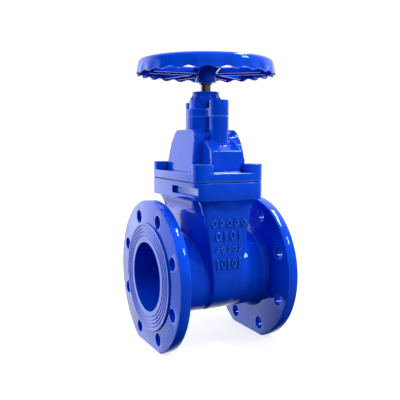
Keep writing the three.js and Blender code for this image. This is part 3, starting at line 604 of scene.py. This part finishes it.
for y, r in lobes:
    cut(gland, bar("clear", 5.8, gland_z - 1, gland_z + 24, 0, y, "Z", 48),
        bar("socket", 8.8, gland_z + 11, gland_z + 24, 0, y, "Z", 64))
shaded(gland)
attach(gland, "valve")
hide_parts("gland")

# %% [markdown]
# Socket head screws sit down in the bosses and hold the bonnet and the gland. One function turns each of
# them at its measured place: a head with a rolled edge, a shank, and a hexagon socket for the key.

# %% Socket head screws
def socket_screw(name, r, head_r, head_high, key, node):
    low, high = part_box(node)
    x, y, z = (low.x + high.x) / 2 / MM, (low.y + high.y) / 2 / MM, high.z / MM
    seat = z - head_high
    screw = bar(name, head_r, seat, z, x, y, "Z", 48)
    rounded(screw, lambda m, d: m.z > z - 0.1 and abs(d.z) < 0.1, 0.9, 3)
    shank = bar("shank", r, low.z / MM, seat + 1, x, y, "Z", 32)
    glue(screw, shank)
    cut(screw, bar("key", key / math.sqrt(3), z - head_high / 2, z + 1, x, y, "Z", 6))
    shaded(screw)
    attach(screw, "valve")
    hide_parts(node)
    return screw


screws = [socket_screw(f"bonnet_socket_screw_{i}", 6, 9, 12, 10, f"bonnet_screw_{i}")
          for i in range(1, 5)]
screws += [socket_screw(f"gland_socket_screw_{i}", 5, 8, 10, 8, f"gland_screw_{i}") for i in (1, 2)]

# %% [markdown]
# The handwheel is pressed from sheet. Its rim is a channel, open below, and the outer skirt ends in a wavy
# grip edge. One wave is spun from the rim's section, its lower rows are pushed out and down, and copies
# turned round the stem complete the ring.

# %% Rim of the handwheel
wheel_low, wheel_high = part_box("handwheel")
rim_top = wheel_high.z / MM
tip_r = wheel_high.x / MM
waves, wave_steps, wave_high, wave_out = 24, 8, 1.7, 2.2
rim_low = wheel_low.z / MM + wave_high
rim_r = tip_r - wave_out
first_tip = math.radians(-3.5)
row_mid, row_top = rim_low + 5.5, rim_low + 10.5
outer = [(rim_r, rim_low), (rim_r, row_mid), (rim_r, row_top), (rim_r - 0.6, rim_top - 5.4),
         (rim_r - 1.5, rim_top - 3.0), (rim_r - 3.2, rim_top - 1.3), (rim_r - 6, rim_top - 0.4),
         (rim_r - 9, rim_top), (rim_r - 12, rim_top - 0.8), (rim_r - 14.6, rim_top - 2.4),
         (rim_r - 16.6, rim_top - 4.8), (rim_r - 17.7, rim_top - 7.6), (rim_r - 18, rim_top - 14)]
inner = [(rim_r - 15.8, rim_top - 14), (rim_r - 15.4, rim_top - 8), (rim_r - 14.4, rim_top - 5.8),
         (rim_r - 12.6, rim_top - 4.0), (rim_r - 9.4, rim_top - 2.6), (rim_r - 6.2, rim_top - 2.8),
         (rim_r - 4.2, rim_top - 3.9), (rim_r - 3, rim_top - 6), (rim_r - 2.4, row_top),
         (rim_r - 2.4, row_mid), (rim_r - 2.2, rim_low)]


def wave_segment():
    """One wave of the rim, from trough to trough."""
    points = outer + inner + outer[:1]
    piece = drawn("wave", [(r, 0, z) for r, z in points])
    start = first_tip - math.pi / waves
    edit(piece)
    bpy.ops.transform.rotate(value=-start, orient_axis="Z", center_override=(0, 0, 0))
    bpy.ops.mesh.spin(steps=wave_steps, angle=2 * math.pi / waves, center=(0, 0, 0), axis=(0, 0, -1))
    lone(piece)
    spread = [math.atan2(v.co.y, v.co.x) for v in piece.data.vertices]
    print("one wave runs from", *(round(math.degrees(end), 1) for end in (min(spread), max(spread))))
    for step in range(wave_steps + 1):
        angle = start + 2 * math.pi / waves * step / wave_steps
        swell = 0.5 - 0.5 * math.cos(2 * math.pi * step / wave_steps)
        for row, share in ((rim_low, 1.0), (row_mid, 0.5), (row_top, 0.16)):
            out = wave_out * swell * share
            drop = wave_high * (2 * swell - 1) * share
            shift(piece, lambda p: abs(p.z - row) < 0.2 and p.xy.length > rim_r - 4
                  and abs(math.atan2(p.y, p.x) - angle) < math.pi / waves / wave_steps,
                  (out * math.cos(angle), out * math.sin(angle), -drop))
    return piece


def turned_copies(piece, count):
    """Copies of a piece, each with its own mesh, turned evenly round the stem, joined into one."""
    copies = [piece]
    for i in range(1, count):
        lone(piece)
        bpy.ops.object.duplicate()
        copy = bpy.context.object
        copy.rotation_euler.z = 2 * math.pi * i / count
        bpy.ops.object.transform_apply(location=False, rotation=True, scale=False)
        copies.append(copy)
    lone(piece)
    for copy in copies:
        copy.select_set(True)
    bpy.ops.object.join()
    return piece


wheel = turned_copies(wave_segment(), waves)
wheel.name = wheel.data.name = "wheel_pressing"
outwards(wheel, 1e-5)
print("rim:", len(wheel.data.vertices), "vertices")

# %% [markdown]
# Five pressed spokes join the rim to the spider in the middle. Each is a channel, open below, with rolled
# edges. One is shaped from a block and hollowed, and the rest are copies turned round the stem.

# %% Spokes
spoke_high, spoke_half, sheet = 9.0, 14.0, 2.4
spokes, spoke_angle = 5, -113.5
hub_body, gap = 18, 0.3
spoke_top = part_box("handwheel_hub")[0].z / MM + hub_body + gap + sheet


def spoke(name, half, top, start, end, roll):
    piece = block(name, (start, end), (-half, half), (top - spoke_high, top))
    rounded(piece, lambda m, d: abs(d.x) > 0.9 and m.z > top - 1, roll, 5)
    return piece


def whole_spoke(angle):
    piece = spoke("spoke", spoke_half, spoke_top, 19, rim_r - 16.8, 3.4)
    cut(piece, spoke("channel", spoke_half - sheet, spoke_top - sheet, 18, rim_r - 16, 1.6))
    piece.rotation_euler.z = math.radians(angle)
    lone(piece)
    bpy.ops.object.transform_apply(location=False, rotation=True, scale=False)
    return piece


spider = turned("spider", [(12.3, spoke_top - sheet), (27, spoke_top - sheet), (27, spoke_top - 0.4),
                           (26.6, spoke_top), (12.7, spoke_top), (12.3, spoke_top - 0.4)], closed=True)
glue(wheel, spider, *[whole_spoke(spoke_angle + 360 / spokes * i) for i in range(spokes)])
shaded(wheel, 38)
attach(wheel, "stem")
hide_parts("handwheel")

# %% [markdown]
# The hub is a short turned boss with a square hole for the stem. A washer and a hexagon screw hold it.

# %% Hub, washers and wheel screw
hub_low, hub_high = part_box("handwheel_hub")
hub_z, hub_top = hub_low.z / MM, hub_high.z / MM
square_way = (-5.8, 5.8)
hub = turned("wheel_hub", [(0, hub_z), (13.2, hub_z), (14.2, hub_z + 0.3), (14.9, hub_z + 1.0),
                           (15.2, hub_z + 2.2), (15.2, hub_z + hub_body), (12, hub_z + hub_body),
                           (12, hub_top - 0.6), (11.4, hub_top), (0, hub_top)], sides=96)
cut(hub, block("square", square_way, square_way, (hub_z - 1, hub_top + 1)))
washer_z, washer_top = (c.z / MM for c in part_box("handwheel_washer"))
washer = turned("wheel_washer", [(4.4, washer_z), (9.7, washer_z), (10, washer_z + 0.3),
                                 (10, washer_top - 0.4), (9.6, washer_top), (4.6, washer_top),
                                 (4.4, washer_top - 0.2)], sides=96, closed=True)
dust_z, dust_top = (c.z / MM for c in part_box("dust_washer"))
dust = turned("stem_washer", [(0, dust_z), (9.3, dust_z), (9.7, dust_z + 0.4), (9.7, dust_top - 0.4),
                              (9.3, dust_top), (0, dust_top)], sides=96)
cut(dust, block("square", square_way, square_way, (dust_z - 1, dust_top + 1)))
screw_low, screw_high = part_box("handwheel_screw")
head_high = 5.4
head_z = screw_high.z / MM - head_high
hexagon = bar("wheel_screw", 7.5, head_z, screw_high.z / MM, sides=6)
trim(hexagon, turned("chamfer", [(0, head_z - 1), (9, head_z - 1), (9, head_z + head_high - 2),
                                 (6.2, head_z + head_high), (0, head_z + head_high)], sides=64))
glue(hexagon, bar("shank", 3.6, screw_low.z / MM, head_z + 1, sides=32))
for piece, node, name in ((hub, "handwheel_hub", "epoxy_wheel"), (washer, "handwheel_washer", "zinc"),
                          (dust, "dust_washer", "stainless"), (hexagon, "handwheel_screw", "zinc")):
    shaded(piece)
    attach(piece, "stem")
    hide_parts(node)

# %% [markdown]
# The stem is turned from stainless bar: a smooth shaft through the seals, a collar that takes the thrust,
# a left-hand thread below and a square on top. The thread is one tooth's outline wound up by the Screw
# modifier, closed at both ends and trimmed flat.

# %% Stem
stem_low, stem_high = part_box("stem")
thrust_washer_t, collar_t = 2.4, 7
collar_top = neck_z - gap - thrust_washer_t
collar_z = collar_top - collar_t
shaft_top = dust_z - gap
thread_low, thread_top, lead = stem_low.z / MM, collar_z - 8.4, 5.0
shaft = turned("stem_spindle", [(0, thread_top - 2), (11, thread_top - 2), (11, collar_z), (15.6, collar_z),
                                (16, collar_z + 0.4), (16, collar_top - 0.4), (15.6, collar_top),
                                (7.5, collar_top), (7.5, shaft_top - 0.4), (7.1, shaft_top),
                                (0, shaft_top)], sides=96)
square = block("square", (-5.5, 5.5), (-5.5, 5.5), (shaft_top - 1, stem_high.z / MM))
rounded(square, lambda m, d: abs(d.z) > 0.9, 0.8, 2)
tooth = drawn("tooth", [(8.5, 0, 0), (8.5, 0, 1.7), (11, 0, 2.4), (11, 0, 4.3), (8.5, 0, lead)])
turns = math.ceil((thread_top - thread_low) / lead) + 2
applied(tooth, "SCREW", axis="Z", angle=-2 * math.pi, screw_offset=lead * MM, iterations=turns, steps=24,
        render_steps=24, use_merge_vertices=True, merge_threshold=1e-6)
edit(tooth)
bpy.ops.mesh.remove_doubles(threshold=1e-6)
bpy.ops.mesh.select_all(action="DESELECT")
bpy.ops.mesh.select_non_manifold(extend=False, use_wire=True, use_boundary=True, use_multi_face=False,
                                 use_non_contiguous=False, use_verts=False)
bpy.ops.mesh.fill()
bpy.ops.mesh.select_all(action="SELECT")
bpy.ops.transform.translate(value=(0, 0, (thread_low - lead) * MM))
bpy.ops.mesh.normals_make_consistent(inside=False)
lone(tooth)
trim(tooth, bar("length", 13, thread_low, thread_top))
print("thread:", turns, "turns wound,", len(tooth.data.vertices), "vertices")
glue(shaft, square, tooth)
cut(shaft, bar("tapped", 3.9, stem_high.z / MM - 16, stem_high.z / MM + 1, sides=32))
shaded(shaft)
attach(shaft, "stem")
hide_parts("stem")

# %% [markdown]
# The wedge's rubber coat is what closes the bore, so it shows when the valve is shut. It is a disc that is
# thinner towards the bottom, with soft edges, over an iron core. The core's shape, a rubber's thickness
# smaller, is cut out of it, with the guide ears, the neck and the way for the stem.

# %% Wedge rubber
rubber_low, rubber_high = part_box("wedge_rubber")
disc_r = (rubber_high.z - rubber_low.z) / 2 / MM
disc_z = (rubber_high.z + rubber_low.z) / 2 / MM
half_at_top = rubber_high.x / MM


def wedge_disc(name, inset, sides=128):
    piece = bar(name, disc_r - inset, -60, 60, 0, disc_z, "X", sides)
    low, high = disc_z - disc_r, disc_z + disc_r
    half_low = half_at_top - inset - draft * (high - low)
    taper = block("taper", (-half_low, half_low), (-80, 80), (low - 0.01, high + 0.01))
    for side in (-1, 1):
        shift(taper, lambda p: p.x * side > 0 and p.z > high, (side * draft * (high - low), 0, 0))
    return trim(piece, taper)


coat = wedge_disc("wedge_rubber_coat", 0)
rounded(coat, lambda m, d: abs(m.x) > 10 and (Vector((m.y, m.z - disc_z)).length > disc_r - 1), 1.6, 4)
ear_z = (PIPE_Z + lift + 0.2 * bore_r - gap, PIPE_Z + lift + 0.8 * bore_r + gap)
coat_t = 3.0
cut(coat, wedge_disc("core_room", coat_t),
    block("ears", (-7.3, 7.3), (-80, 80), ear_z),
    block("neck", (-20.3, 20.3), (-29.3, 29.3), (disc_z - 3, disc_z + 80)),
    bar("stem_way", stem_way_r, disc_z - 80, disc_z))
shaded(coat)
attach(coat, "wedge")
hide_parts("wedge_rubber")

# %% [markdown]
# Every finish is a small network: a noise in the piece's own coordinates, ramps that turn it into colour
# and roughness, and a bump. These helpers keep each finish down to a few lines.

# %% Material helpers
def material(name, colour, rough, metal=0.0):
    """A new material and its shader, with the plain values set straight on the shader."""
    made = bpy.data.materials.new(name)
    made.use_nodes = True
    shader = made.node_tree.nodes["Principled BSDF"]
    shader.inputs["Base Color"].default_value = (*colour, 1)
    shader.inputs["Roughness"].default_value = rough
    shader.inputs["Metallic"].default_value = metal
    return made, shader


def node(made, kind, **values):
    new = made.node_tree.nodes.new(kind)
    for key, value in values.items():
        if key in new.inputs:
            new.inputs[key].default_value = value
        else:
            setattr(new, key, value)
    return new


def join_up(made, *links):
    for out, into in links:
        made.node_tree.links.new(out, into)


def noise(made, scale, detail=3.0, stretch=(1, 1, 1)):
    """Noise on object coordinates; scale is in bumps per metre."""
    where = node(made, "ShaderNodeTexCoord")
    mapping = node(made, "ShaderNodeMapping")
    mapping.inputs["Scale"].default_value = stretch
    grain = node(made, "ShaderNodeTexNoise", Scale=scale, Detail=detail)
    join_up(made, (where.outputs["Object"], mapping.inputs["Vector"]),
            (mapping.outputs["Vector"], grain.inputs["Vector"]))
    return grain.outputs["Fac"]


def ramp(made, factor, *stops):
    """A colour ramp from (position, colour) stops."""
    ramp_node = node(made, "ShaderNodeValToRGB")
    elements = ramp_node.color_ramp.elements
    while len(elements) < len(stops):
        elements.new(0.5)
    for element, (position, colour) in zip(elements, stops):
        element.position = position
        element.color = (*colour, 1) if len(colour) == 3 else colour
    join_up(made, (factor, ramp_node.inputs["Fac"]))
    return ramp_node.outputs["Color"]


def bump(made, shader, height, strength, depth):
    relief = node(made, "ShaderNodeBump", Strength=strength, Distance=depth * MM)
    join_up(made, (height, relief.inputs["Height"]), (relief.outputs["Normal"], shader.inputs["Normal"]))


print("finishes before the first one:", len(bpy.data.materials))

# %% [markdown]
# The coat on the castings is fusion-bonded epoxy, a powder that melts on the hot iron. It is thick, hard
# and very glossy, with a faint orange peel. Painted shade makes its colour darker in hollow corners, and a
# painted highlight makes it brighter on sharp edges. Two ambient occlusion nodes find those places: one
# looks outwards for the corners and one looks into the solid for the edges.

# %% Epoxy coat
def epoxy(name, deep, bright, edge_highlight_colour, crease_shade_colour, edge_reach):
    made, shader = material(name, bright, 0.12)
    shader.inputs["Specular IOR Level"].default_value = 0.7
    shader.inputs["Specular Tint"].default_value = (0.18, 0.40, 1.0, 1)
    pooled = ramp(made, noise(made, 22, 2), (0.30, deep), (0.70, bright))
    painted_crease_shade = node(made, "ShaderNodeMix", data_type="RGBA")
    painted_edge_highlight = node(made, "ShaderNodeMix", data_type="RGBA")
    # Painted highlight: ambient occlusion looking into the solid finds sharp edges, and the colour there is
    # mixed towards a brighter blue.
    convex = node(made, "ShaderNodeAmbientOcclusion", only_local=True, inside=True, samples=6)
    convex.inputs["Distance"].default_value = edge_reach * MM
    # Painted shade: ambient occlusion looking outwards finds hollow corners, and the colour there is mixed
    # towards a darker blue.
    hollow = node(made, "ShaderNodeAmbientOcclusion", only_local=True, samples=6)
    hollow.inputs["Distance"].default_value = 9 * MM
    edge_highlight_mask = ramp(made, convex.outputs["AO"], (0.50, (1, 1, 1)), (0.85, (0, 0, 0)))
    crease_shade_mask = ramp(made, hollow.outputs["AO"], (0.42, (1, 1, 1)), (0.86, (0, 0, 0)))
    painted_crease_shade.inputs[7].default_value = (*crease_shade_colour, 1)
    painted_edge_highlight.inputs[7].default_value = (*edge_highlight_colour, 1)
    join_up(made, (crease_shade_mask, painted_crease_shade.inputs[0]), (pooled, painted_crease_shade.inputs[6]),
            (edge_highlight_mask, painted_edge_highlight.inputs[0]), (painted_crease_shade.outputs[2], painted_edge_highlight.inputs[6]),
            (painted_edge_highlight.outputs[2], shader.inputs["Base Color"]))
    dull = ramp(made, noise(made, 60, 3), (0.35, (0.035,) * 3), (0.75, (0.08,) * 3))
    join_up(made, (dull, shader.inputs["Roughness"]))
    bump(made, shader, noise(made, 100, 2), 0.18, 0.8)
    return made


# The last two colours of each coat are the painted edge highlight and the painted crease shade.
cast_epoxy = epoxy("cast_epoxy", (0.0001, 0.045, 0.60), (0.0002, 0.068, 0.80), (0.03, 0.24, 1.0),
                   (0.0, 0.008, 0.20), 1.8)
wheel_epoxy = epoxy("wheel_epoxy", (0.0001, 0.048, 0.62), (0.0002, 0.072, 0.82), (0.01, 0.18, 1.0),
                    (0.0, 0.008, 0.20), 1.2)
print("epoxy coats:", cast_epoxy.name, wheel_epoxy.name)

# %% [markdown]
# The bare metals and the soft parts are simpler. Turned steel has fine rings, so its noise is squeezed
# along the stem's axis. Brass is warm and a little dull. Rubber and the guide shoes are matt.

# %% Metals, rubber and plastic
def turned_metal(name, dark, light, rough):
    made, shader = material(name, light, rough, 1.0)
    rings = noise(made, 60, 4, (1, 1, 30))
    join_up(made, (ramp(made, rings, (0.3, dark), (0.7, light)), shader.inputs["Base Color"]))
    join_up(made, (ramp(made, rings, (0.3, (rough - 0.06,) * 3), (0.7, (rough + 0.08,) * 3)),
                   shader.inputs["Roughness"]))
    bump(made, shader, rings, 0.12, 0.08)
    return made


def matt(name, dark, light, rough, grain, depth):
    made, shader = material(name, light, rough)
    specks = noise(made, grain, 4)
    join_up(made, (ramp(made, specks, (0.35, dark), (0.65, light)), shader.inputs["Base Color"]))
    bump(made, shader, specks, 0.3, depth)
    return made


stainless = turned_metal("turned_stainless", (0.16, 0.14, 0.13), (0.34, 0.31, 0.29), 0.28)
screw_steel = turned_metal("screw_steel", (0.34, 0.34, 0.35), (0.50, 0.50, 0.52), 0.3)
zinc = turned_metal("zinc_plate", (0.42, 0.43, 0.45), (0.60, 0.61, 0.63), 0.3)
brass = turned_metal("turned_brass", (0.48, 0.33, 0.13), (0.66, 0.48, 0.22), 0.3)
rubber = matt("black_rubber", (0.010, 0.010, 0.011), (0.022, 0.022, 0.024), 0.55, 400, 0.1)
iron = matt("raw_iron", (0.05, 0.05, 0.052), (0.11, 0.11, 0.115), 0.6, 500, 0.3)
iron.node_tree.nodes["Principled BSDF"].inputs["Metallic"].default_value = 0.6
shoe = matt("shoe_polymer", (0.62, 0.60, 0.53), (0.72, 0.70, 0.63), 0.45, 300, 0.05)


def wear(piece, finish):
    piece.data.materials.clear()
    piece.data.materials.append(finish)


for piece in (core, bonnet, gland):
    wear(piece, cast_epoxy)
for piece in (wheel, hub):
    wear(piece, wheel_epoxy)
for piece in screws:
    wear(piece, screw_steel)
for piece in (shaft, dust):
    wear(piece, stainless)
for piece in (washer, hexagon):
    wear(piece, zinc)
wear(coat, rubber)
shown_cad = {"bonnet_gasket": rubber, "gland_ring_seal": rubber, "stem_seal_1": rubber, "stem_seal_2": rubber,
             "bush_seal": rubber, "stem_wiper": rubber, "stem_bush": brass, "thrust_washer_lower": brass,
             "thrust_washer_upper": brass, "stem_nut": brass, "wedge_core": iron, "guide_shoe_1": shoe,
             "guide_shoe_2": shoe}
for name, finish in shown_cad.items():
    wear(nodes[name], finish)
print("finishes:", len(bpy.data.materials))

# %% [markdown]
# The camera is a little above the flanges, in front and to the left, as for a catalogue picture. It is
# placed by its angles round the valve, its distance and the point that it looks at.

# %% Camera
azimuth, elevation, roll = math.radians(-27.24), math.radians(6.13), math.radians(0.22)
distance, aim, shift_right, shift_up = 0.83723, Vector((0, 0, 0.251)), -0.00784, -0.04309
back = Vector((math.sin(azimuth) * math.cos(elevation), -math.cos(azimuth) * math.cos(elevation),
               math.sin(elevation)))
right = (-back).cross(Vector((0, 0, 1))).normalized()
up = right.cross(-back)
right, up = right * math.cos(roll) + up * math.sin(roll), up * math.cos(roll) - right * math.sin(roll)
lone()
bpy.ops.object.camera_add(location=aim + back * distance + right * shift_right + up * shift_up)
camera = bpy.context.object
camera.name = "camera"
camera.rotation_mode = "QUATERNION"
camera.rotation_quaternion = Matrix((right, up, back)).transposed().to_quaternion()
camera.data.sensor_width, camera.data.lens = 36.0, 36.0 * 562.4 / 400
bpy.context.scene.camera = camera
print("camera at", [round(v, 3) for v in camera.location])

# %% [markdown]
# The valve stands on a plain pale floor. It glows a little, so that it is as white as the room round it
# and keeps only a soft contact shadow, and the glossy coat doesn't mirror it.

# %% Floor
bpy.ops.mesh.primitive_plane_add(size=60, location=(0, 0, 0))
floor = bpy.context.object
floor.name = "floor"
pale, pale_shader = material("pale_floor", (0.45, 0.45, 0.455), 0.7)
pale_shader.inputs["Specular IOR Level"].default_value = 0.1
pale_shader.inputs["Emission Color"].default_value = (1, 1, 1, 1)
pale_shader.inputs["Emission Strength"].default_value = 0.72
wear(floor, pale)
floor.visible_diffuse = floor.visible_glossy = False
print("floor at", floor.location.z)

# %% [markdown]
# A long softbox over the right side draws the thin highlights along the rim and the shoulders, and a
# small one in front adds sparks. Two large fills brighten the colour and aren't mirrored by the coat.

# %% Lights
def softbox(name, place, target, size, watts):
    lone()
    bpy.ops.object.light_add(type="AREA", location=place)
    lamp = bpy.context.object
    lamp.name = name
    lamp.data.shape = "RECTANGLE"
    lamp.data.size, lamp.data.size_y = size
    lamp.data.energy = watts
    lamp.rotation_mode = "QUATERNION"
    lamp.rotation_quaternion = (Vector(target) - Vector(place)).to_track_quat("-Z", "Y")
    return lamp


softbox("top_light", (0.75, -0.15, 1.6), (0, 0, 0.2), (0.9, 0.22), 22)
softbox("right_light", (1.1, -1.2, 1.3), (0, 0, 0.2), (0.3, 0.3), 8)
for fill in (softbox("front_fill", (0.3, -2.2, 1.1), (0, 0, 0.2), (1.2, 1.2), 19),
             softbox("left_fill", (-2.0, 0.2, 1.2), (0, 0, 0.2), (1.0, 1.0), 24)):
    fill.visible_glossy = False

# %% [markdown]
# The room is white behind and above, and darker behind the camera, because a glossy coat shows its own
# colour only where it mirrors something dark. The backdrop itself is plain white to the camera.

# %% Studio walls
world = bpy.data.worlds.new("studio")
bpy.context.scene.world = world
world.use_nodes = True
sky = world.node_tree
direction = sky.nodes.new("ShaderNodeTexCoord").outputs["Generated"]


def glow(towards, start, full, strength):
    """Light from one side of the room, fading in between two cosines."""
    facing = sky.nodes.new("ShaderNodeVectorMath")
    facing.operation = "DOT_PRODUCT"
    facing.inputs[1].default_value = Vector(towards).normalized()
    spread = sky.nodes.new("ShaderNodeMapRange")
    spread.interpolation_type = "SMOOTHSTEP"
    spread.inputs["From Min"].default_value, spread.inputs["From Max"].default_value = start, full
    spread.inputs["To Min"].default_value, spread.inputs["To Max"].default_value = 0, strength
    sky.links.new(direction, facing.inputs[0])
    sky.links.new(facing.outputs["Value"], spread.inputs["Value"])
    return spread.outputs["Result"]


total = None
for light in (glow((0.45, 0.88, 0.25), 0.1, 0.75, 1.05), glow((-0.62, 0.78, 0.0), 0.78, 0.93, 1.35),
              glow((0, 0.1, 1), 0.5, 0.95, 0.5), glow((0.45, -0.8, 0.35), -0.1, 0.9, 0.42)):
    if total is None:
        total = light
        continue
    both = sky.nodes.new("ShaderNodeMath")
    both.operation = "ADD"
    sky.links.new(total, both.inputs[0])
    sky.links.new(light, both.inputs[1])
    total = both.outputs[0]
backdrop = sky.nodes.new("ShaderNodeMath")
backdrop.operation = "MAXIMUM"
sky.links.new(total, backdrop.inputs[0])
sky.links.new(sky.nodes.new("ShaderNodeLightPath").outputs["Is Camera Ray"], backdrop.inputs[1])
sky.links.new(backdrop.outputs[0], sky.nodes["Background"].inputs["Color"])
bpy.context.scene.view_settings.view_transform = "Standard"
print("world made of", len(sky.nodes), "nodes")
